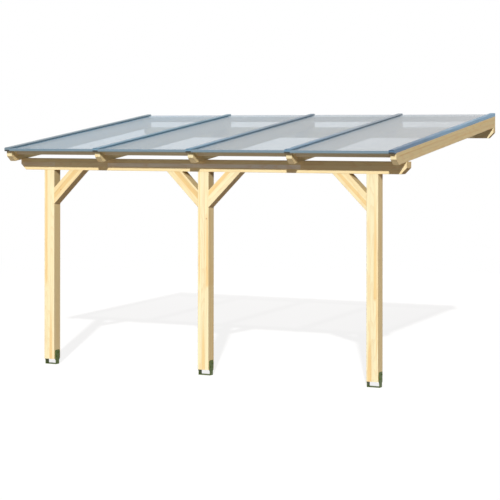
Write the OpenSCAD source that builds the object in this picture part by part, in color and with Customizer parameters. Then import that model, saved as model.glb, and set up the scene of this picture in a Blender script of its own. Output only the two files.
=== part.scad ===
// Lean-to patio cover: a timber frame fixed to a wall at the back and standing on
// three posts at the front, roofed with four translucent sheets held in glazing bars.
// Seen from the garden: X runs to the right, Y towards the wall, Z up.
// The origin is the middle of the wall purlin's back face.

/* [Overall size] */
// Distance between neighbouring rafters, centre to centre
bay_pitch = 1070; // [850:10:1250]
// Level distance from the wall to the top edge of the rafter ends
projection = 2935; // [2000:5:4000]
// Height of the front beam's underside above the ground
headroom = 2035; // [1800:5:2600]
// Slope of the roof, in degrees
roof_pitch = 7.1; // [4:0.1:12]
// Distance the rafters reach past the front face of the beam
overhang = 272; // [180:1:450]

/* [Main timbers] */
// Side of the square posts
post_size = 120; // [80:5:180]
// Distance from each end of the beam to the centre of the outer post
post_inset = 350; // [200:5:700]
// Height of the front beam
beam_h = 120; // [90:5:240]
// Thickness of the front beam, front to back
beam_t = 120; // [80:5:180]
// Height of the wall purlin
purlin_h = 120; // [90:5:240]
// Thickness of the wall purlin, wall to room
purlin_t = 60; // [40:5:100]
// Width of each rafter
rafter_w = 60; // [45:5:90]
// Height of each rafter, square to the slope
rafter_h = 120; // [90:5:200]
// Side of the square head braces
brace_size = 120; // [60:5:120]
// Length of the long leg of each brace along the post and along the beam
brace_reach = 355; // [250:5:600]
// Height of the battens between the rafters
batten_h = 55; // [30:1:70]
// Thickness of the battens between the rafters
batten_t = 40; // [25:1:60]

/* [Joinery] */
// Depth of the rafter seat at the front face of the beam
beam_seat = 3; // [2:0.5:15]
// Depth of the rafter seat at the wall
purlin_seat = 1; // [0.5:0.5:15]
// Upright part of every shaped timber end, as a share of the timber's height
end_share = 0.5; // [0.3:0.05:0.7]
// Bevel on the long edges of the main timbers
edge_ease = 2.5; // [1:0.5:8]
// Set-back of the eave battens from the rafter ends, along the slope
batten_setback = 92; // [40:1:160]

/* [Post anchors] */
// Height of the post feet above the ground
foot_gap = 57; // [30:1:120]
// Thickness of the anchor steel
anchor_t = 6; // [4:0.5:10]
// Width of the side plates beside the post
plate_w = 80; // [60:1:120]
// Width of the side plates below the post
plate_neck_w = 60; // [40:1:90]
// Height the side plates reach up beside the post
plate_rise = 92; // [60:1:160]

/* [Glazing] */
// Thickness of the roof sheets
sheet_t = 16; // [8:1:25]
// Space between neighbouring sheets, under the bar
sheet_space = 20; // [12:1:30]
// Distance the glazing reaches past the rafter ends, along the slope
glazing_reach = 37; // [15:1:80]
// Width of the glazing bars
bar_w = 60; // [50:1:80]
// Height of the capping on top of the sheets
capping_h = 13; // [12:0.5:25]
// Height of the bar's support ribs, rafter top to sheet
rib_h = 5; // [3:0.5:10]
// Wall thickness of the aluminium sections
section_t = 2.5; // [1.5:0.25:4]

/* [Hidden] */
bays = 4;
rafters = bays + 1;
slope_tan = tan(roof_pitch);
slope_cos = cos(roof_pitch);
frame_w = bays * bay_pitch + rafter_w;
beam_front_y = -(projection - overhang);
beam_top = headroom + beam_h;
rafter_drop = rafter_h / slope_cos;
rafter_top_at_wall = beam_top - beam_seat + rafter_drop - beam_front_y * slope_tan;
purlin_top = rafter_top_at_wall - rafter_drop + purlin_seat;
purlin_mid = purlin_top - purlin_h / 2;
ground_z = -purlin_mid;
slope_len = projection / slope_cos;
past_wall = 80;
cut_room = 300;
fit_gap = 0.3;
post_x = frame_w / 2 - post_inset;
post_mid_y = beam_front_y + beam_t / 2;
brace_inner = brace_reach - brace_size * sqrt(2);
plate_corner = 10;
neck_slope = 12;
neck_top = foot_gap - neck_slope / 2;
sheet_w = bay_pitch - sheet_space;
sheet_wall_gap = 6;
sheet_low = rib_h;
sheet_high = rib_h + sheet_t;
bar_top = sheet_high + capping_h;
bar_web = 3;
bar_base_t = 2;
bar_shoulder = 5;
capping_floor = 3;
rib_t = 3;
rib_in = sheet_space / 2 + rib_t;
end_plate_t = 2;
trim_top_leg = 22;
trim_low_leg = 32;
trim_drip = 6;
stop_leg = 8;
stop_t = 4;
batten_ease = 3;

timber = [0.93, 0.82, 0.60];
timber_dark = [0.80, 0.67, 0.45];
metal = [0.46, 0.55, 0.66];
sheet_tint = [0.74, 0.79, 0.84, 0.75];
steel = [0.33, 0.37, 0.18];
black = [0.08, 0.08, 0.09];

function rafter_x(i) = (i - 1 - bays / 2) * bay_pitch;
function bay_x(i) = (rafter_x(i) + rafter_x(i + 1)) / 2;
function bevelled(a0, a1, b0, b1, e) = [
    [a0 + e, b0], [a1 - e, b0], [a1, b0 + e], [a1, b1 - e],
    [a1 - e, b1], [a0 + e, b1], [a0, b1 - e], [a0, b0 + e]
];

// Puts a shape drawn from the ground up into the frame of the purlin.
module from_ground() {
    translate([0, 0, ground_z])
        children();
}

// Slope frame: Y runs up the slope to the wall line, Z square to the rafter tops.
module on_slope() {
    translate([0, 0, rafter_top_at_wall + ground_z])
        rotate([roof_pitch, 0, 0])
            children();
}

// Flat shape given as (Y, Z), drawn out along X from x0.
module along_x(x0, len) {
    translate([x0, 0, 0])
        rotate([90, 0, 90])
            linear_extrude(height = len)
                children();
}

// Flat shape given as (X, Z), drawn out along Y from y0.
module along_y(y0, len) {
    translate([0, y0 + len, 0])
        rotate([90, 0, 0])
            linear_extrude(height = len)
                children();
}

// Everything on the wall side of the purlin's back face.
module wall_side() {
    translate([-frame_w, 0, ground_z])
        cube([2 * frame_w, cut_room, 2 * rafter_top_at_wall]);
}

// Level timber with both ends upright above and cut back at 45 degrees below.
module shaped_bar(len, y0, t, z0, h) {
    upright = h * end_share;
    undercut = h - upright;
    intersection() {
        along_y(y0, t)
            polygon([
                [-len / 2, z0 + h],
                [-len / 2, z0 + undercut],
                [-len / 2 + undercut, z0],
                [len / 2 - undercut, z0],
                [len / 2, z0 + undercut],
                [len / 2, z0 + h]
            ]);
        along_x(-len / 2, len)
            polygon(bevelled(y0, y0 + t, z0, z0 + h, edge_ease));
    }
}

module front_beam() {
    color(timber)
        from_ground()
            shaped_bar(frame_w, beam_front_y, beam_t, headroom, beam_h);
}

module wall_purlin() {
    color(timber)
        from_ground()
            shaped_bar(frame_w, -purlin_t, purlin_t, purlin_top - purlin_h, purlin_h);
}

// Rafter with a shaped end, a seat over the beam, a seat over the purlin and a plumb
// cut at the wall.
module rafter(i) {
    upright = rafter_h * end_share;
    undercut = rafter_h - upright;
    color(timber)
        difference() {
            translate([rafter_x(i), 0, 0])
                on_slope()
                    intersection() {
                        along_x(-rafter_w / 2, rafter_w)
                            polygon([
                                [-slope_len, 0],
                                [-slope_len, -upright],
                                [-slope_len + undercut, -rafter_h],
                                [past_wall, -rafter_h],
                                [past_wall, 0]
                            ]);
                        along_y(-slope_len, slope_len + past_wall)
                            polygon(bevelled(-rafter_w / 2, rafter_w / 2, -rafter_h, 0, edge_ease));
                    }
            translate([rafter_x(i) - rafter_w, beam_front_y, beam_top - cut_room + ground_z])
                cube([2 * rafter_w, beam_t, cut_room]);
            translate([rafter_x(i) - rafter_w, -purlin_t, purlin_top - cut_room + ground_z])
                cube([2 * rafter_w, purlin_t + past_wall, cut_room]);
            wall_side();
        }
}

module rafter_1() { rafter(1); }
module rafter_2() { rafter(2); }
module rafter_3() { rafter(3); }
module rafter_4() { rafter(4); }
module rafter_5() { rafter(5); }

module post(x) {
    half = post_size / 2;
    color(timber)
        from_ground()
            translate([x, post_mid_y, foot_gap])
                linear_extrude(height = headroom - foot_gap)
                    polygon(bevelled(-half, half, -half, half, edge_ease));
}

module post_left() { post(-post_x); }
module post_middle() { post(0); }
module post_right() { post(post_x); }

// Head brace at 45 degrees between a post (at x) and the underside of the beam.
module brace(x, side) {
    axis_off = brace_inner / sqrt(2);
    run = brace_reach * 2;
    color(timber)
        from_ground()
            translate([x + side * post_size / 2, post_mid_y - brace_size / 2, headroom])
                mirror([side < 0 ? 1 : 0, 0, 0])
                    intersection() {
                        along_y(0, brace_size)
                            polygon([
                                [0, -brace_inner],
                                [brace_inner, 0],
                                [brace_reach, 0],
                                [0, -brace_reach]
                            ]);
                        rotate([0, 45, 0])
                            translate([axis_off, 0, -run / 2])
                                linear_extrude(height = run)
                                    polygon(bevelled(0, brace_size, 0, brace_size, edge_ease));
                    }
}

module brace_left() { brace(-post_x, 1); }
module brace_middle_left() { brace(0, -1); }
module brace_middle_right() { brace(0, 1); }
module brace_right() { brace(post_x, -1); }

// Side plate of a post anchor, as (Y, Z): a narrow neck below, a broad plate beside the post.
module anchor_plate_shape() {
    polygon([
        [-plate_neck_w / 2, 0],
        [plate_neck_w / 2, 0],
        [plate_neck_w / 2, neck_top - neck_slope],
        [plate_w / 2, neck_top],
        [plate_w / 2, foot_gap + plate_rise - plate_corner],
        [plate_w / 2 - plate_corner, foot_gap + plate_rise],
        [-plate_w / 2 + plate_corner, foot_gap + plate_rise],
        [-plate_w / 2, foot_gap + plate_rise - plate_corner],
        [-plate_w / 2, neck_top],
        [-plate_neck_w / 2, neck_top - neck_slope]
    ]);
}

module anchor(x) {
    half = post_size / 2;
    color(steel)
        from_ground()
            translate([x, post_mid_y, 0])
                union() {
                    along_x(half, anchor_t)
                        anchor_plate_shape();
                    along_x(-half - anchor_t, anchor_t)
                        anchor_plate_shape();
                    translate([-half - anchor_t, -plate_neck_w / 2, 0])
                        cube([post_size + 2 * anchor_t, plate_neck_w, anchor_t]);
                }
}

module anchor_left() { anchor(-post_x); }
module anchor_middle() { anchor(0); }
module anchor_right() { anchor(post_x); }

module eave_batten(i) {
    start = -slope_len + batten_setback;
    color(timber_dark)
        on_slope()
            along_x(rafter_x(i) + rafter_w / 2, bay_pitch - rafter_w)
                polygon(bevelled(start, start + batten_t, -batten_h, 0, batten_ease));
}

module eave_batten_1() { eave_batten(1); }
module eave_batten_2() { eave_batten(2); }
module eave_batten_3() { eave_batten(3); }
module eave_batten_4() { eave_batten(4); }

module rear_batten(i) {
    color(timber_dark)
        difference() {
            on_slope()
                along_x(rafter_x(i) + rafter_w / 2, bay_pitch - rafter_w)
                    polygon([
                        [-batten_t, -batten_h + batten_ease],
                        [-batten_t + batten_ease, -batten_h],
                        [past_wall, -batten_h],
                        [past_wall, 0],
                        [-batten_t + batten_ease, 0],
                        [-batten_t, -batten_ease]
                    ]);
            wall_side();
        }
}

module rear_batten_1() { rear_batten(1); }
module rear_batten_2() { rear_batten(2); }
module rear_batten_3() { rear_batten(3); }
module rear_batten_4() { rear_batten(4); }

module roof_sheet(i) {
    start = -slope_len - glazing_reach;
    color(sheet_tint)
        on_slope()
            translate([bay_x(i) - sheet_w / 2, start, sheet_low])
                cube([sheet_w, -start - sheet_wall_gap, sheet_t]);
}

module roof_sheet_1() { roof_sheet(1); }
module roof_sheet_2() { roof_sheet(2); }
module roof_sheet_3() { roof_sheet(3); }
module roof_sheet_4() { roof_sheet(4); }

// One half of the bar section to the right of its middle, as (X, Z): base with two
// support ribs, half the web, and half the capping with its lip.
module half_bar_shape() {
    half = bar_w / 2;
    floor_z = sheet_high + capping_floor;
    polygon([
        [0, 0],
        [half, 0],
        [half, sheet_low],
        [half - rib_t, sheet_low],
        [half - rib_t, bar_base_t],
        [rib_in + rib_t, bar_base_t],
        [rib_in + rib_t, sheet_low],
        [rib_in, sheet_low],
        [rib_in, bar_base_t],
        [bar_web / 2, bar_base_t],
        [bar_web / 2, floor_z],
        [half - rib_t, floor_z],
        [half - rib_t, sheet_high],
        [half, sheet_high],
        [half, bar_top - bar_shoulder],
        [half - bar_shoulder, bar_top],
        [0, bar_top]
    ]);
}

// Hollow inside the capping.
module bar_chamber_shape() {
    half = bar_w / 2 - section_t;
    polygon([
        [-half, sheet_high + capping_floor + section_t],
        [half, sheet_high + capping_floor + section_t],
        [half, bar_top - bar_shoulder - section_t / 2],
        [half - bar_shoulder + section_t, bar_top - section_t],
        [-half + bar_shoulder - section_t, bar_top - section_t],
        [-half, bar_top - bar_shoulder - section_t / 2]
    ]);
}

// Glazing bar on a rafter; edge is -1 or 1 for a bar closed on its outer side, else 0.
module glazing_bar(i, edge) {
    start = -slope_len - glazing_reach;
    half = bar_w / 2;
    color(metal)
        difference() {
            translate([rafter_x(i), 0, 0])
                on_slope()
                    union() {
                        along_y(start, past_wall - start)
                            difference() {
                                union() {
                                    half_bar_shape();
                                    mirror([1, 0])
                                        half_bar_shape();
                                    if (edge != 0)
                                        translate([edge > 0 ? half - section_t : -half, 0])
                                            square([section_t, bar_top - bar_shoulder]);
                                }
                                bar_chamber_shape();
                            }
                        translate([-half, start - end_plate_t, 0])
                            cube([bar_w, end_plate_t, bar_top - bar_shoulder]);
                    }
            wall_side();
        }
}

module glazing_bar_1() { glazing_bar(1, -1); }
module glazing_bar_2() { glazing_bar(2, 0); }
module glazing_bar_3() { glazing_bar(3, 0); }
module glazing_bar_4() { glazing_bar(4, 0); }
module glazing_bar_5() { glazing_bar(5, 1); }

// Channel closing the front edge of a sheet between two bars, with a drip lip below.
module eave_trim(i) {
    front = -slope_len - glazing_reach - fit_gap;
    nose = front - section_t;
    low = sheet_low - section_t + fit_gap;
    color(metal)
        on_slope()
            along_x(rafter_x(i) + bar_w / 2 + fit_gap, bay_pitch - bar_w - 2 * fit_gap)
                polygon([
                    [nose, low - trim_drip],
                    [front, low - trim_drip],
                    [front, low - section_t],
                    [front + trim_low_leg, low - section_t],
                    [front + trim_low_leg, low],
                    [front, low],
                    [front, sheet_high + fit_gap],
                    [front + trim_top_leg, sheet_high + fit_gap],
                    [front + trim_top_leg, sheet_high + fit_gap + section_t],
                    [nose, sheet_high + fit_gap + section_t]
                ]);
}

module eave_trim_1() { eave_trim(1); }
module eave_trim_2() { eave_trim(2); }
module eave_trim_3() { eave_trim(3); }
module eave_trim_4() { eave_trim(4); }

// Black angle on the rafter end that stops the bar and closes it underneath.
module end_stop(i) {
    color(black)
        translate([rafter_x(i), 0, 0])
            on_slope()
                along_x(-bar_w / 2, bar_w)
                    polygon([
                        [-slope_len - glazing_reach, 0],
                        [-slope_len - glazing_reach, -stop_t],
                        [-slope_len - stop_t, -stop_t],
                        [-slope_len - stop_t, -stop_leg],
                        [-slope_len, -stop_leg],
                        [-slope_len, 0]
                    ]);
}

module end_stop_1() { end_stop(1); }
module end_stop_2() { end_stop(2); }
module end_stop_3() { end_stop(3); }
module end_stop_4() { end_stop(4); }
module end_stop_5() { end_stop(5); }

front_beam();
wall_purlin();
rafter_1();
rafter_2();
rafter_3();
rafter_4();
rafter_5();
post_left();
post_middle();
post_right();
brace_left();
brace_middle_left();
brace_middle_right();
brace_right();
anchor_left();
anchor_middle();
anchor_right();
eave_batten_1();
eave_batten_2();
eave_batten_3();
eave_batten_4();
rear_batten_1();
rear_batten_2();
rear_batten_3();
rear_batten_4();
roof_sheet_1();
roof_sheet_2();
roof_sheet_3();
roof_sheet_4();
glazing_bar_1();
glazing_bar_2();
glazing_bar_3();
glazing_bar_4();
glazing_bar_5();
eave_trim_1();
eave_trim_2();
eave_trim_3();
eave_trim_4();
end_stop_1();
end_stop_2();
end_stop_3();
end_stop_4();
end_stop_5();
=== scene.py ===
"""Lean-to patio cover: finishes, fixings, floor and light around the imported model."""

import math

import bmesh
import bpy
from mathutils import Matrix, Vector


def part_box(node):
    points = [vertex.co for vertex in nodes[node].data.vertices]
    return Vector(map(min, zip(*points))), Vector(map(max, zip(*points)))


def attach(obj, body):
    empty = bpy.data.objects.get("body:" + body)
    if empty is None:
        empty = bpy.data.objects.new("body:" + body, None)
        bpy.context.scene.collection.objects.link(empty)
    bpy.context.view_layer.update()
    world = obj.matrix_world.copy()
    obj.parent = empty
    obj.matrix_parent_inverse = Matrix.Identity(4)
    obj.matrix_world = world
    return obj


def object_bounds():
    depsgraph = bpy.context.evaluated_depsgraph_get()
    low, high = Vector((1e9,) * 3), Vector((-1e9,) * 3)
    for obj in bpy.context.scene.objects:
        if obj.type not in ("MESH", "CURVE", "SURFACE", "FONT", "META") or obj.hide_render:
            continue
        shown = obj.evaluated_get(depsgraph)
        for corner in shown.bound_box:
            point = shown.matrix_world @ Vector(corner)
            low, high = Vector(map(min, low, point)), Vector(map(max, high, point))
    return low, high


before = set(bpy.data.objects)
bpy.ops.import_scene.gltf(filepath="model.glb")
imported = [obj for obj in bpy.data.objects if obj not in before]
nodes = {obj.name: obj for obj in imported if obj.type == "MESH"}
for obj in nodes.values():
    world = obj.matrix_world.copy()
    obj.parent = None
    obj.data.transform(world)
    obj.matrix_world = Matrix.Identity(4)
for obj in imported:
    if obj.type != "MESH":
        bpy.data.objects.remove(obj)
cad_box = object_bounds()

X = Vector((1, 0, 0))
Y = Vector((0, 1, 0))
Z = Vector((0, 0, 1))
MM = 0.001
BITE = 0.1 * MM  # how far a fixing's head is let into what it sits on


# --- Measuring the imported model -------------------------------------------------

def span(name, direction):
    """Least and greatest reach of a node along a direction."""
    reach = [v.co.dot(direction) for v in nodes[name].data.vertices]
    return min(reach), max(reach)


upper_faces = [face for face in nodes["roof_sheet_1"].data.polygons if face.normal.z > 0.5]
ROOF_NORMAL = max(upper_faces, key=lambda face: face.area).normal.normalized()
UP_SLOPE = ROOF_NORMAL.cross(X).normalized()


def on_roof(x, up, out):
    """Point at x, so far up the slope and so far out from the origin's slope plane."""
    return X * x + UP_SLOPE * up + ROOF_NORMAL * out


# --- Camera -----------------------------------------------------------------------

LENS = 121.81
SHIFT_UP = -0.23982
EYE_HEIGHT = 2.452
TURN = 26.287

camera_data = bpy.data.cameras.new("camera")
camera_data.sensor_width = 36
camera_data.lens = LENS
camera_data.shift_y = SHIFT_UP
camera_data.clip_end = 200
camera = bpy.data.objects.new("camera", camera_data)
bpy.context.scene.collection.objects.link(camera)
ground_z = cad_box[0][2]
camera.location = (7.906, -17.611, ground_z + EYE_HEIGHT)
camera.rotation_euler = (math.radians(90), -0.0008, math.radians(TURN))
bpy.context.scene.camera = camera


# --- Node trees -------------------------------------------------------------------

class Value:
    """A socket that does sums: each operator adds a Math node to its tree."""

    def __init__(self, tree, socket):
        self.tree = tree
        self.socket = socket

    def _sum(self, operation, *values):
        return self.tree.add("ShaderNodeMath", {"operation": operation}, dict(enumerate(values)))

    def __add__(self, other):
        return self._sum("ADD", self, other)

    def __radd__(self, other):
        return self._sum("ADD", other, self)

    def __sub__(self, other):
        return self._sum("SUBTRACT", self, other)

    def __rsub__(self, other):
        return self._sum("SUBTRACT", other, self)

    def __mul__(self, other):
        return self._sum("MULTIPLY", self, other)

    def __rmul__(self, other):
        return self._sum("MULTIPLY", other, self)

    def __truediv__(self, other):
        return self._sum("DIVIDE", self, other)

    def __abs__(self):
        return self._sum("ABSOLUTE", self)

    def least(self, other):
        return self._sum("MINIMUM", self, other)

    def most(self, other):
        return self._sum("MAXIMUM", self, other)

    def floor(self):
        return self._sum("FLOOR", self)

    def part(self):
        return self._sum("FRACT", self)

    def root(self):
        return self._sum("SQRT", self)

    def ramp(self, start, end, low=0.0, high=1.0):
        """Goes smoothly from low to high as this goes from start to end."""
        limits = {0: self, 1: start, 2: end, 3: low, 4: high}
        return self.tree.add("ShaderNodeMapRange", {"interpolation_type": "SMOOTHSTEP"}, limits)


class Tree:
    """A node tree that is built up one node at a time."""

    def __init__(self, node_tree):
        self.nodes = node_tree.nodes
        self.links = node_tree.links
        self.nodes.clear()

    def add(self, kind, settings=None, sockets=None, output=0):
        node = self.nodes.new(kind)
        for key, value in (settings or {}).items():
            setattr(node, key, value)
        for key, value in (sockets or {}).items():
            if isinstance(value, Value):
                self.links.new(value.socket, node.inputs[key])
            else:
                node.inputs[key].default_value = value
        return Value(self, node.outputs[output]) if node.outputs else None

    def vector(self, operation, first, second):
        result = 1 if operation == "DOT_PRODUCT" else 0
        sockets = {0: first, 1: second}
        return self.add("ShaderNodeVectorMath", {"operation": operation}, sockets, result)

    def along(self, place, direction):
        """How far a place or a normal reaches along a direction."""
        return self.vector("DOT_PRODUCT", place, tuple(direction))

    def join(self, x, y, z):
        return self.add("ShaderNodeCombineXYZ", None, {0: x, 1: y, 2: z})

    def blend(self, share, first, second):
        """Colour between first and second."""
        return self.add("ShaderNodeMix", {"data_type": "RGBA"}, {0: share, 6: first, 7: second}, 2)

    def noise(self, place, scale=1.0, detail=2.0, rough=0.5, warp=0.0):
        sockets = {"Scale": scale, "Detail": detail, "Roughness": rough, "Distortion": warp}
        return self.add("ShaderNodeTexNoise", None, {"Vector": place, **sockets})

    def chance(self, number):
        """A value from 0 to 1 that belongs to the number."""
        return self.add("ShaderNodeTexWhiteNoise", {"noise_dimensions": "1D"}, {"W": number})

    def cells(self, place, scale=1.0):
        """Distance from the nearest of many scattered points."""
        sockets = {"Vector": place, "Scale": scale}
        return self.add("ShaderNodeTexVoronoi", {"feature": "F1"}, sockets)

    def place(self):
        return self.add("ShaderNodeTexCoord", None, None, 3)

    def normal(self):
        return self.add("ShaderNodeNewGeometry", None, None, 1)

    def bump(self, height, depth, strength=1.0):
        sockets = {"Strength": strength, "Distance": depth, "Height": height}
        return self.add("ShaderNodeBump", None, sockets)


def colour(red, green, blue):
    """Linear colour from values out of 255."""
    linear = []
    for part in (red, green, blue):
        share = part / 255
        linear.append(share / 12.92 if share <= 0.04045 else ((share + 0.055) / 1.055) ** 2.4)
    return (*linear, 1.0)


def new_finish(name, build, **fixed):
    """Material whose surface sockets come from build(tree); fixed ones are set as they are."""
    material = bpy.data.materials.new(name)
    material.use_nodes = True
    tree = Tree(material.node_tree)
    sockets = dict(fixed)
    sockets.update(build(tree))
    surface = tree.add("ShaderNodeBsdfPrincipled", None, sockets)
    tree.add("ShaderNodeOutputMaterial", None, {"Surface": surface})
    return material


def dress(name, material):
    mesh = nodes[name].data
    mesh.materials.clear()
    mesh.materials.append(material)


# --- Timber -----------------------------------------------------------------------

RING = 0.0042
LOT_STEP = 3.7
PALE_EDGE_REACH = 0.007
PALE_EDGE_CORE = 0.002

PALE_WOOD = colour(242, 234, 194)
HONEY_WOOD = colour(236, 201, 134)
DEEP_HONEY = colour(206, 170, 104)
FINE_HONEY = colour(240, 207, 148)
CHALKY_WOOD = colour(250, 246, 236)
LATE_WOOD = colour(222, 174, 112)
FIBRE_WOOD = colour(204, 158, 104)
PAINTED_SHADE_WOOD = colour(196, 176, 130)
GREY_TONE_AND_SHADE_WOOD = colour(186, 168, 138)
KNOT_RIM = colour(190, 136, 78)
KNOT_HEART = colour(130, 84, 48)
GLUE_LINE = colour(150, 112, 70)
CUT_WOOD = colour(205, 165, 110)
PALE_EDGE_WOOD = colour(252, 240, 208)
OPEN_CHECK = colour(150, 110, 70)


def timber_finish(name, along, across, layers, number, tone=0.0, warm=0.0,
                  tongues=(), pale_boards=(), painted_shade_from=None):
    """Glued timber: grain along one direction, layers stacked across it.

    The number sets the piece's own grain, and tone is an added share of grey wood, which on the
    battens is painted shade.
    Warm is the share of honey-coloured wood; faces other than front and back get more of it as
    painted shade.
    Each tongue is a honey-coloured strip, as (offset across, root, tip, half width, share of
    deep honey), and each pale board a stretch of the middle layer, as (start, end, share).
    Sides that don't look down get painted shade, darker and duller wood, above the given height.
    Lengths run from the piece's foot.
    """
    depth = along.cross(across).normalized()
    low_a = span(name, along)[0]
    low_b, high_b = span(name, across)
    low_c, high_c = span(name, depth)
    half_b = (high_b - low_b) / 2
    half_c = (high_c - low_c) / 2
    layer = 2 * half_b / layers

    def build(tree):
        place = tree.place()
        from_foot = tree.along(place, along) - low_a
        a = from_foot + LOT_STEP * number
        b = tree.along(place, across) - (low_b + high_b) / 2
        c = tree.along(place, depth) - (low_c + high_c) / 2
        stack = (b + half_b) / layer
        index = stack.floor().most(0).least(layers - 1)
        lot = tree.chance(index * 1.7 + (0.31 + number))
        lot_2 = tree.chance(index * 2.3 + (9.4 + number))
        a = a + lot * 5.0
        b_own = b - (index + 0.5) * layer + half_b

        # broad streaks of honey-coloured wood that run with the grain
        broad_place = tree.join(b_own * 26 + lot_2 * 11, c * 24, a * 0.55)
        fine_place = tree.join(b_own * 95, c * 90, a * 1.6 + lot * 7)
        streak = tree.noise(broad_place, detail=1.6, warp=0.25)
        fine_streak = tree.noise(fine_place, detail=2.5)
        honey = streak.ramp(0.52, 0.76) * 0.8
        honey_fine = fine_streak.ramp(0.42, 0.72)

        # growth rings round a heart that lies outside each layer
        wander = tree.noise(tree.join(b * 9, c * 9, a * 0.9), detail=2.0)
        heart_b = b_own + (lot * 0.05 - 0.025)
        heart_c = c + a * 0.011 + (0.035 + lot_2 * 0.05)
        radius = (heart_b * heart_b + heart_c * heart_c).root() + wander * 0.035
        ring = (radius / RING).part()
        late_wood = ring.ramp(0.45, 0.92) - ring.ramp(0.93, 1.0)

        # fibres, pores and a few small knots
        fibre = tree.noise(tree.join(b * 900, c * 900, a * 14), detail=2.0, rough=0.65)
        cell = tree.cells(tree.join(a * 1.9, b_own * 1.9 + lot * 3.1, c * 0.5 + lot_2 * 4.7))
        knot = cell.ramp(0.013, 0.006)
        knot_ring = cell.ramp(0.026, 0.011)

        # hairline drying checks, in patches
        split_course = tree.noise(tree.join(b * 34, c * 34, a * 0.7), detail=1.0)
        split_patch = tree.noise(tree.join(b * 5, c * 5, a * 1.3), detail=1.0)
        split = abs(split_course - 0.5).ramp(0.006, 0.002) * split_patch.ramp(0.58, 0.66)

        # cut ends, paler long edges and the glue lines between the layers
        normal = tree.normal()
        cut_end = abs(tree.along(normal, along)).ramp(0.55, 0.75)
        edge = (half_b - abs(b)) + (half_c - abs(c))
        pale_edge = edge.ramp(PALE_EDGE_REACH, PALE_EDGE_CORE) * fine_streak.ramp(0.30, 0.62)
        between = stack.ramp(0.5, 0.6) * (layers - stack).ramp(0.5, 0.6)
        glue = abs(stack.part() - 0.5).ramp(0.486, 0.4965) * between

        # honey-coloured wood, all over and in tongues; the extra share on faces other than front
        # and back is painted shade
        turned_away = abs(tree.along(normal, Y)).ramp(0.8, 0.4)
        honey = honey * (1 - warm) + warm + turned_away * 0.62 * (1 - warm)
        deep = 0.0
        for offset, root, tip, half_width, share in tongues:
            run = (from_foot - root) / (tip - root)
            narrowing = (1 - run).most(0).root()
            tongue = (narrowing * half_width - abs(b - offset)).ramp(-0.004, 0.010)
            tongue = tongue * run.ramp(1.0, 0.25) * run.ramp(-0.03, 0.0)
            honey = honey.most(tongue)
            deep = tongue * share + deep
        wood = tree.blend(honey.least(1.0) * 0.80, PALE_WOOD, HONEY_WOOD)
        if tongues:
            wood = tree.blend(deep, wood, DEEP_HONEY)

        middle = (1 - abs(index - (layers - 1) / 2)).most(0)
        for start, end, share in pale_boards:
            after_start = from_foot.ramp(start - 0.002, start + 0.002)
            before_end = from_foot.ramp(end + 0.002, end - 0.002)
            wood = tree.blend(after_start * before_end * middle * share, wood, CHALKY_WOOD)

        wood = tree.blend(honey_fine * 0.24, wood, FINE_HONEY)
        wood = tree.blend(late_wood * 0.22, wood, LATE_WOOD)
        wood = tree.blend(fibre.ramp(0.55, 0.85) * 0.18, wood, FIBRE_WOOD)
        # painted shade: sides that don't look down are darkened above the given height, in the
        # pockets above the braces and on the braces' upper faces
        if painted_shade_from is not None:
            not_down = tree.along(normal, Z).ramp(-0.4, -0.1)
            painted_shade_share = turned_away * not_down * from_foot.ramp(painted_shade_from, painted_shade_from + 0.02)
            wood = tree.blend(painted_shade_share * 0.9, wood, PAINTED_SHADE_WOOD)
        # random grey tone per layer, plus the added tone, which on the battens is painted shade
        wood = tree.blend(lot.ramp(0.0, 1.0, 0.0, 0.12) + tone, wood, GREY_TONE_AND_SHADE_WOOD)
        wood = tree.blend(knot_ring * 0.40, wood, KNOT_RIM)
        wood = tree.blend(knot * 0.6, wood, KNOT_HEART)
        wood = tree.blend(glue * 0.55, wood, GLUE_LINE)
        wood = tree.blend(cut_end * 0.06, wood, CUT_WOOD)
        wood = tree.blend(pale_edge * 0.30, wood, PALE_EDGE_WOOD)
        wood = tree.blend(split * 0.22, wood, OPEN_CHECK)
        height = late_wood * 0.5 + fibre * 0.6 - glue * 1.2 - knot * 0.5 - split * 1.5
        return {
            "Base Color": wood,
            "Roughness": 0.54 + honey * 0.07 + fibre * 0.12 + cut_end * 0.12,
            "Normal": tree.bump(height, 0.0005, 0.35),
        }

    dress(name, new_finish(f"glued_timber_{name}", build))


RAFTERS = [f"rafter_{i}" for i in range(1, 6)]
POSTS = ["post_left", "post_middle", "post_right"]
ANCHORS = ["anchor_left", "anchor_middle", "anchor_right"]
BARS = [f"glazing_bar_{i}" for i in range(1, 6)]
TRIMS = [f"eave_trim_{i}" for i in range(1, 5)]
SHEETS = [f"roof_sheet_{i}" for i in range(1, 5)]
STOPS = [f"end_stop_{i}" for i in range(1, 6)]

BEAM_BOARDS = [
    (0.0, 0.42, 0.5), (0.42, 1.06, 0.15), (1.06, 2.10, 0.9), (2.10, 3.24, 1.0), (3.24, 4.34, 0.1),
]
RAFTER_STRIP = (0.022, 0.1, 2.4, 0.011, 0.3)
POST_TONGUES = {
    "post_left": [(0.020, 0.0, 0.80, 0.020, 0), (-0.036, 0.85, 5.0, 0.018, 0)],
    "post_middle": [
        (0.004, 0.0, 0.75, 0.022, 0), (0.048, 0.85, 2.1, 0.019, 0), (-0.042, 0.9, 5.0, 0.009, 0),
    ],
    "post_right": [(-0.026, 0.0, 0.70, 0.024, 0), (0.031, 0.80, 2.2, 0.020, 0)],
}
TO_THE_RIGHT = (X + Z).normalized()
TO_THE_LEFT = (Z - X).normalized()
BRACE_GRAIN = {
    "brace_left": (TO_THE_RIGHT, 0.55, (0.0, 0.0, 5.0, 0.026, 0.25)),
    "brace_middle_right": (TO_THE_RIGHT, 0.15, (-0.036, 0.0, 5.0, 0.022, 0.12)),
    "brace_middle_left": (TO_THE_LEFT, 0.35, (0.020, 0.0, 5.0, 0.027, 0.35)),
    "brace_right": (TO_THE_LEFT, 0.25, (-0.012, 0.0, 5.0, 0.022, 0.08)),
}

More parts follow.
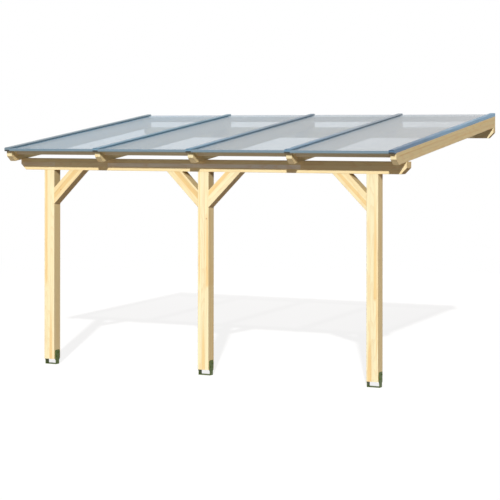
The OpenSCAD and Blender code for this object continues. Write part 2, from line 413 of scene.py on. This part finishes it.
timber_finish("front_beam", X, Z, 3, 1, warm=0.5, pale_boards=BEAM_BOARDS)
timber_finish("wall_purlin", X, Z, 3, 2, warm=0.2)
for i, name in enumerate(RAFTERS):
    tone = -0.05 if name == "rafter_5" else 0.0
    timber_finish(name, UP_SLOPE, ROOF_NORMAL, 3, 3 + i, tone, 0.05, [RAFTER_STRIP])
for i, (name, tongues) in enumerate(POST_TONGUES.items()):
    # painted shade on the post sides above the braces; on the left post it also marks the outer
    # side
    above_brace = span("brace_left", Z)[0] - span(name, Z)[0] + 0.06
    painted_shade_from = None if name == "post_right" else above_brace
    timber_finish(name, Z, X, 3, 8 + i, tongues=tongues, painted_shade_from=painted_shade_from)
for i, (name, (along, warm, strip)) in enumerate(BRACE_GRAIN.items()):
    timber_finish(name, along, Y.cross(along), 3, 11 + i, 0.0, warm, [strip], painted_shade_from=-1)
# painted shade: the battens under the roof get a strong grey tone
for i in range(1, 5):
    timber_finish(f"eave_batten_{i}", X, ROOF_NORMAL, 1, 15 + i, tone=0.85)
    timber_finish(f"rear_batten_{i}", X, ROOF_NORMAL, 1, 19 + i, tone=0.85)


# --- Metal, sheet and plastic -----------------------------------------------------

TRIM_LOW = span("eave_trim_1", ROOF_NORMAL)[0]
EAVE_U = span("eave_trim_1", UP_SLOPE)[0]
BAR_LOW = span("glazing_bar_1", ROOF_NORMAL)[0]
BAR_FRONT = span("glazing_bar_1", UP_SLOPE)[0]


def coated_metal(tree, low, high, painted_foot_shade=0.0, painted_front_shade=False):
    """Powder-coated aluminium, its colour going from one at the eave to another at the wall as
    painted reflection.

    A trim's foot can be darkened with painted shade, by the given share, and so can a bar's front
    foot.
    """
    place = tree.place()
    x = tree.along(place, X)
    u = tree.along(place, UP_SLOPE)
    n = tree.along(place, ROOF_NORMAL)
    peel = tree.noise(place, scale=900, detail=1.0)
    draw_line = tree.noise(tree.join(x * 700, u * 2.0, n * 700), detail=1.5)
    dust = tree.noise(tree.join(x * 40, u * 3.0, n * 40), detail=3.0).ramp(0.40, 0.75)
    base = tree.blend((u - EAVE_U).ramp(0.1, 2.0), colour(*low), colour(*high))
    base = tree.blend(dust * 0.25, base, colour(142, 156, 166))
    base = tree.blend(draw_line.ramp(0.45, 0.8) * 0.15, base, colour(72, 96, 116))
    # painted shade: darker along the trim's foot
    if painted_foot_shade:
        base = tree.blend((n - TRIM_LOW).ramp(0.009, 0.004) * painted_foot_shade, base, colour(104, 108, 96))
    # painted shade: a dark band at the bar's front foot, under its overhang
    if painted_front_shade:
        front_shade_mask = (u - BAR_FRONT).ramp(0.003, 0.001) * (n - BAR_LOW).ramp(0.014, 0.010)
        base = tree.blend(front_shade_mask, base, colour(66, 70, 68))
    return {
        "Base Color": base,
        "Roughness": 0.30 + dust * 0.22 + peel * 0.06,
        "Metallic": 0.55 - dust * 0.25,
        "Normal": tree.bump(peel * 0.5 + draw_line * 0.5, 0.00012, 0.5),
    }


def trim_build(tree):
    return coated_metal(tree, (118, 142, 158), (118, 142, 158), painted_foot_shade=0.8)


SHEET_LOW = span("roof_sheet_1", ROOF_NORMAL)[0]
CELL_WIDTH = 0.016
CELL_HEIGHT = 0.008


def sheet_build(tree):
    """Multi-wall sheet: its webs show as faint lines down the slope, and painted shade darkens its
    open cells at the ends.
    """
    place = tree.place()
    x = tree.along(place, X)
    u = tree.along(place, UP_SLOPE)
    n = tree.along(place, ROOF_NORMAL)
    web = abs((x / CELL_WIDTH).part() - 0.5).ramp(0.36, 0.48)
    cloud = tree.noise(tree.join(x * 3.0, u * 0.9, 0.0), detail=3.0)
    run = tree.noise(tree.join(x * 55, u * 1.2, 0.0), detail=2.0).ramp(0.45, 0.8)
    base = tree.blend(x.ramp(-2.2, 0.5), colour(114, 186, 228), colour(152, 188, 214))
    base = tree.blend(x.ramp(0.8, 2.1), base, colour(176, 192, 206))
    base = tree.blend(cloud.ramp(0.3, 0.7) * 0.3, base, colour(176, 194, 206))
    base = tree.blend(web * 0.05, base, colour(140, 160, 178))
    base = tree.blend(run * 0.06, base, colour(170, 178, 176))
    cut_end = abs(tree.along(tree.normal(), UP_SLOPE)).ramp(0.7, 0.9)
    layer_mark = abs(((n - SHEET_LOW) / CELL_HEIGHT).part() - 0.5).ramp(0.34, 0.44)
    wall = web.most(layer_mark)
    # painted shade: the cut ends are dark inside the cells, between the walls
    base = tree.blend(cut_end * (1 - wall) * 0.75, base, colour(84, 98, 110))
    return {
        "Base Color": base,
        "Alpha": x.ramp(0.8, 2.1, 0.54, 0.64),
        "Roughness": 0.07 + run * 0.04 + cloud * 0.04,
        "Normal": tree.bump(web, 0.00003, 0.1),
    }


def steel_build(tree):
    """Hot-dipped steel under dark green paint."""
    place = tree.place()
    mottle = tree.noise(place, scale=45, detail=3.0)
    spangle = tree.cells(place, scale=160)
    peel = tree.noise(place, scale=600, detail=1.5)
    base = tree.blend(mottle.ramp(0.35, 0.7), colour(64, 84, 12), colour(86, 104, 28))
    base = tree.blend(spangle.ramp(0.2, 0.6) * 0.2, base, colour(48, 62, 16))
    return {
        "Base Color": base,
        "Roughness": 0.42 + mottle * 0.15,
        "Metallic": 0.25 - mottle * 0.2,
        "Normal": tree.bump(peel * 0.6 + spangle * 0.4, 0.0002, 0.5),
    }


def plastic_build(tree):
    """Black moulded plastic with a fine grained skin."""
    place = tree.place()
    grain = tree.noise(place, scale=1400, detail=2.0)
    scuff = tree.noise(place, scale=60, detail=3.0).ramp(0.5, 0.8)
    return {
        "Base Color": tree.blend(scuff * 0.4, colour(20, 20, 22), colour(52, 52, 54)),
        "Roughness": 0.55 + grain * 0.15,
        "Normal": tree.bump(grain, 0.0001, 0.6),
    }


# painted reflection: colour at the eave and at the wall, for each bar from the left
BAR_REFLECTION_COLOURS = [
    ((122, 142, 154), (122, 144, 155)),
    ((110, 148, 171), (111, 147, 165)),
    ((106, 147, 174), (113, 134, 151)),
    ((102, 141, 171), (138, 151, 163)),
    ((72, 108, 142), (110, 152, 182)),
]
trim_finish = new_finish("trim_coating", trim_build)
sheet_finish = new_finish("multiwall_sheet", sheet_build, **{"Specular IOR Level": 0.4})
steel_finish = new_finish("anchor_paint", steel_build)
plastic_finish = new_finish("stop_plastic", plastic_build)
for name, (low, high) in zip(BARS, BAR_REFLECTION_COLOURS):
    bar_build = lambda tree: coated_metal(tree, low, high, painted_front_shade=True)
    dress(name, new_finish(f"coating_{name}", bar_build))
for name in TRIMS:
    dress(name, trim_finish)
for name in SHEETS:
    dress(name, sheet_finish)
for name in ANCHORS:
    dress(name, steel_finish)
for name in STOPS:
    dress(name, plastic_finish)


# --- Fixings and seals ------------------------------------------------------------

def new_piece(name, build, material, smooth_angle=35):
    """Mesh piece from build(bm), riding on the frame."""
    bm = bmesh.new()
    build(bm)
    bmesh.ops.recalc_face_normals(bm, faces=bm.faces)
    mesh = bpy.data.meshes.new(name)
    bm.to_mesh(mesh)
    bm.free()
    mesh.materials.append(material)
    piece = bpy.data.objects.new(name, mesh)
    bpy.context.scene.collection.objects.link(piece)
    for polygon in mesh.polygons:
        polygon.use_smooth = True
    mesh.set_sharp_from_angle(angle=math.radians(smooth_angle))
    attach(piece, "root")
    return piece


def turned(bm, profile, centre, axis, sides=24, flats=None):
    """Turns (radius, height) pairs round an axis; what is wider than flats is cut to a hexagon."""
    axis = axis.normalized()
    side = axis.orthogonal().normalized()
    other = axis.cross(side)
    rings = []
    for radius, height in profile:
        ring = []
        for k in range(sides):
            angle = 2 * math.pi * k / sides
            reach = radius
            if flats and radius > flats:
                turn = (angle + math.pi / 6) % (math.pi / 3) - math.pi / 6
                reach = min(radius, flats / math.cos(turn))
            outwards = side * math.cos(angle) + other * math.sin(angle)
            ring.append(bm.verts.new(centre + axis * height + outwards * reach))
        rings.append(ring)
    for low, high in zip(rings, rings[1:]):
        for k in range(sides):
            after = (k + 1) % sides
            bm.faces.new((low[k], low[after], high[after], high[k]))
    bm.faces.new(rings[0])
    bm.faces.new(rings[-1])


def drawn_out(bm, profile, start, end, across, up):
    """Closed (across, up) profile drawn out from start to end."""
    near = [bm.verts.new(start + across * a + up * b) for a, b in profile]
    far = [bm.verts.new(end + across * a + up * b) for a, b in profile]
    for k in range(len(profile)):
        after = (k + 1) % len(profile)
        bm.faces.new((near[k], near[after], far[after], far[k]))
    bm.faces.new(near)
    bm.faces.new(far)


def rubber_build(tree):
    """Black sealing rubber, dull, with a little dust on it."""
    place = tree.place()
    dust = tree.noise(place, scale=35, detail=3.0).ramp(0.45, 0.8)
    grain = tree.noise(place, scale=1800, detail=1.0)
    return {
        "Base Color": tree.blend(dust * 0.35, colour(24, 25, 27), colour(66, 68, 70)),
        "Roughness": 0.68 + grain * 0.12,
        "Normal": tree.bump(grain, 0.00008, 0.5),
    }


def zinc_build(tree):
    """Bright zinc-plated steel."""
    place = tree.place()
    stain = tree.noise(place, scale=220, detail=3.0)
    turn = tree.noise(place, scale=2500, detail=1.0)
    base = tree.blend(stain.ramp(0.4, 0.7), colour(176, 178, 180), colour(140, 143, 148))
    return {
        "Base Color": base,
        "Roughness": 0.26 + stain * 0.2,
        "Metallic": 0.95 - stain * 0.1,
        "Normal": tree.bump(turn, 0.00005, 0.4),
    }


rubber_finish = new_finish("seal_rubber", rubber_build)
zinc_finish = new_finish("screw_zinc", zinc_build)

# profiles as (radius, height) in millimetres, from the face that a head sits on
HEX_HEAD = [
    (5.0, 0.0), (10.5, 0.0), (11.0, 0.4), (11.0, 1.6), (10.6, 2.0),
    (7.4, 2.0), (7.4, 6.9), (6.9, 7.4), (5.2, 7.6), (1.0, 7.6),
]
BAR_SCREW = [
    (3.0, 0.0), (6.6, 0.0), (7.0, 0.4), (7.0, 1.4), (6.7, 1.8), (5.2, 1.9),
    (5.1, 2.6), (4.4, 3.8), (3.2, 4.6), (2.2, 4.8), (1.9, 4.7), (1.6, 3.6), (0.4, 3.5),
]
WOOD_SCREW = [
    (4.0, 0.0), (5.0, 0.15), (5.0, 0.6), (4.4, 1.1),
    (2.6, 1.2), (2.3, 1.1), (2.1, 0.5), (0.3, 0.4),
]
HEX_FLATS = 6.5 * MM


def in_metres(profile):
    return [(radius * MM, height * MM) for radius, height in profile]


def seal_profile(side):
    """Bead of rubber against a bar's flank, as (outwards, up from the sheet)."""
    shape = [(0.0, 0.0), (2.0, 0.0), (2.5, 0.4), (2.3, 1.0), (1.2, 1.7), (0.8, 2.3), (0.0, 2.4)]
    return [(side * a * MM, b * MM) for a, b in shape]


def make_seals():
    """Rubber seals along the sheets, on both sides of each bar that has a sheet there."""
    sheet_top = span(SHEETS[0], ROOF_NORMAL)[1]
    low, high = span(SHEETS[0], UP_SLOPE)
    start, end = low + 1 * MM, high - 1 * MM
    for i, bar in enumerate(BARS):
        x_low, x_high = span(bar, X)
        flanks = [(-1, x_low)] if i > 0 else []
        flanks += [(1, x_high)] if i < len(BARS) - 1 else []

        def build(bm):
            for side, x in flanks:
                foot = on_roof(x, start, sheet_top)
                head = on_roof(x, end, sheet_top)
                drawn_out(bm, seal_profile(side), foot, head, X, ROOF_NORMAL)

        new_piece(f"bar_seals_{i + 1}", build, rubber_finish)


def make_bar_screws():
    """Domed screws along the middle of each capping."""
    count, first, spare = 8, 0.09, 0.24
    low, high = span(SHEETS[0], UP_SLOPE)
    for i, bar in enumerate(BARS):
        mid_x = sum(span(bar, X)) / 2
        top = span(bar, ROOF_NORMAL)[1] - BITE

        def build(bm):
            for k in range(count):
                up = low + first + (high - low - spare) * k / (count - 1)
                turned(bm, in_metres(BAR_SCREW), on_roof(mid_x, up, top), ROOF_NORMAL, 18)

        new_piece(f"bar_screws_{i + 1}", build, zinc_finish)


def make_anchor_bolts():
    """Two hexagon bolts through each side plate."""
    bolt_places = [(-0.022, 0.30), (0.022, 0.70)]  # along Y, and as a share of the plate's rise
    for anchor, post in zip(ANCHORS, POSTS):
        plate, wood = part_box(anchor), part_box(post)
        mid_y = (wood[0].y + wood[1].y) / 2
        rise = plate[1].z - wood[0].z

        def build(bm):
            for x, axis in ((plate[0].x, -X), (plate[1].x, X)):
                for off_mid, share in bolt_places:
                    centre = Vector((x, mid_y + off_mid, wood[0].z + rise * share)) - axis * BITE
                    turned(bm, in_metres(HEX_HEAD), centre, axis, 48, HEX_FLATS)

        new_piece(f"bolts_{anchor}", build, steel_finish)


def make_brace_screws():
    """Two wood screws near each end of a brace, driven in from the face below."""
    from_end, off_mid = 0.075, 0.03
    for name, (along, *_) in BRACE_GRAIN.items():
        low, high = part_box(name)
        lean = 1 if along.x > 0 else -1
        down = (X * lean - Z).normalized()
        foot = Vector((low.x if lean > 0 else high.x, (low.y + high.y) / 2, low.z)) - down * BITE
        reach = (high.z - low.z) * math.sqrt(2)

        def build(bm):
            for up in (from_end, reach - from_end):
                for dy in (-off_mid, off_mid):
                    turned(bm, in_metres(WOOD_SCREW), foot + along * up + Y * dy, down, 18)

        new_piece(f"screws_{name}", build, zinc_finish)


def make_wall_screws():
    """Two hexagon screws through the wall purlin in each bay."""
    low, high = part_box("wall_purlin")
    mid_z = (low.z + high.z) / 2
    first_rafter = 0.03
    bay_width = span(RAFTERS[1], X)[0] - span(RAFTERS[0], X)[0]

    def build(bm):
        for bay in range(len(RAFTERS) - 1):
            for share, off_mid in ((0.22, 0.022), (0.78, -0.022)):
                x = low.x + first_rafter + bay_width * (bay + share)
                centre = Vector((x, low.y + BITE, mid_z + off_mid))
                turned(bm, in_metres(HEX_HEAD), centre, -Y, 48, HEX_FLATS)

    new_piece("wall_screws", build, zinc_finish)


make_seals()
make_bar_screws()
make_anchor_bolts()
make_brace_screws()
make_wall_screws()


# --- Floor and light --------------------------------------------------------------

def seen_ray(tree):
    """1 for rays from the camera, off gloss and through clear pieces."""
    path = tree.nodes.new("ShaderNodeLightPath")
    camera_ray = Value(tree, path.outputs["Is Camera Ray"])
    glossy_ray = Value(tree, path.outputs["Is Glossy Ray"])
    through_ray = Value(tree, path.outputs["Is Transmission Ray"])
    return camera_ray.most(glossy_ray).most(through_ray)


def make_floor():
    """Pale floor that looks white, save for the object's shadow on it."""
    mesh = bpy.data.meshes.new("floor")
    reach, height = 60.0, ground_z - 0.5 * MM
    corners = [(-reach, -reach), (reach, -reach), (reach, reach), (-reach, reach)]
    mesh.from_pydata([(x, y, height) for x, y in corners], [], [(0, 1, 2, 3)])
    floor = bpy.data.objects.new("floor", mesh)
    bpy.context.scene.collection.objects.link(floor)
    material = bpy.data.materials.new("pale_floor")
    material.use_nodes = True
    tree = Tree(material.node_tree)
    place = tree.place()
    x = tree.along(place, X)
    y = tree.along(place, Y) + 1.0
    away = (x * x + y * y).root()
    seen = seen_ray(tree)
    near = away.ramp(14.0, 5.0)
    own_light = seen * (1 - near * 0.15)
    bright = tree.add("ShaderNodeEmission", None, {"Color": (1, 1, 1, 1), "Strength": own_light})
    bounce = (1 - seen) * 0.30
    shown = seen * near * 0.26
    paint = tree.join(bounce + shown, bounce * 0.81 + shown, bounce * 0.66 + shown)
    matte = tree.add("ShaderNodeBsdfDiffuse", None, {"Color": paint})
    surface = tree.add("ShaderNodeAddShader", None, {0: matte, 1: bright})
    tree.add("ShaderNodeOutputMaterial", None, {"Surface": surface})
    mesh.materials.append(material)


def make_world():
    """White to the eye, and a weak warm light for the rest."""
    world = bpy.data.worlds.new("studio")
    bpy.context.scene.world = world
    world.use_nodes = True
    tree = Tree(world.node_tree)
    seen = seen_ray(tree)
    strength = seen.ramp(0.0, 1.0, 0.102, 1.0)
    tint = tree.blend(seen, (1.0, 0.80, 0.74, 1), (1, 1, 1, 1))
    ground = tree.add("ShaderNodeBackground", None, {"Color": tint, "Strength": strength})
    tree.add("ShaderNodeOutputWorld", None, {"Surface": ground})


def new_lamp(name, kind, towards, energy, tint):
    """Lamp ten metres out in one direction, shining back."""
    data = bpy.data.lights.new(name, kind)
    data.energy = energy
    data.color = tint
    lamp = bpy.data.objects.new(name, data)
    lamp.rotation_euler = towards.to_track_quat("Z", "Y").to_euler()
    lamp.location = towards * 10
    bpy.context.scene.collection.objects.link(lamp)
    return lamp


def make_key_light(towards, energy, tint):
    new_lamp("key_light", "SUN", towards, energy, tint).data.angle = math.radians(1.2)


def make_soft_light(name, towards, energy, tint):
    lamp = new_lamp(name, "AREA", towards, energy, tint)
    lamp.data.shape = "SQUARE"
    lamp.data.size = 7.0
    lamp.visible_camera = False
    lamp.visible_glossy = False


make_floor()
make_world()
make_key_light(Vector((0.362, -0.807, 0.436)), 3.5, (1.0, 0.995, 0.98))
make_soft_light("front_fill_light", Vector((-0.25, -0.90, 0.22)), 106.0, (1.0, 0.95, 0.86))
make_soft_light("rear_fill_light", Vector((-0.30, 0.92, 0.10)), 110.0, (1.0, 0.95, 0.88))
bpy.context.scene.view_settings.view_transform = "Standard"
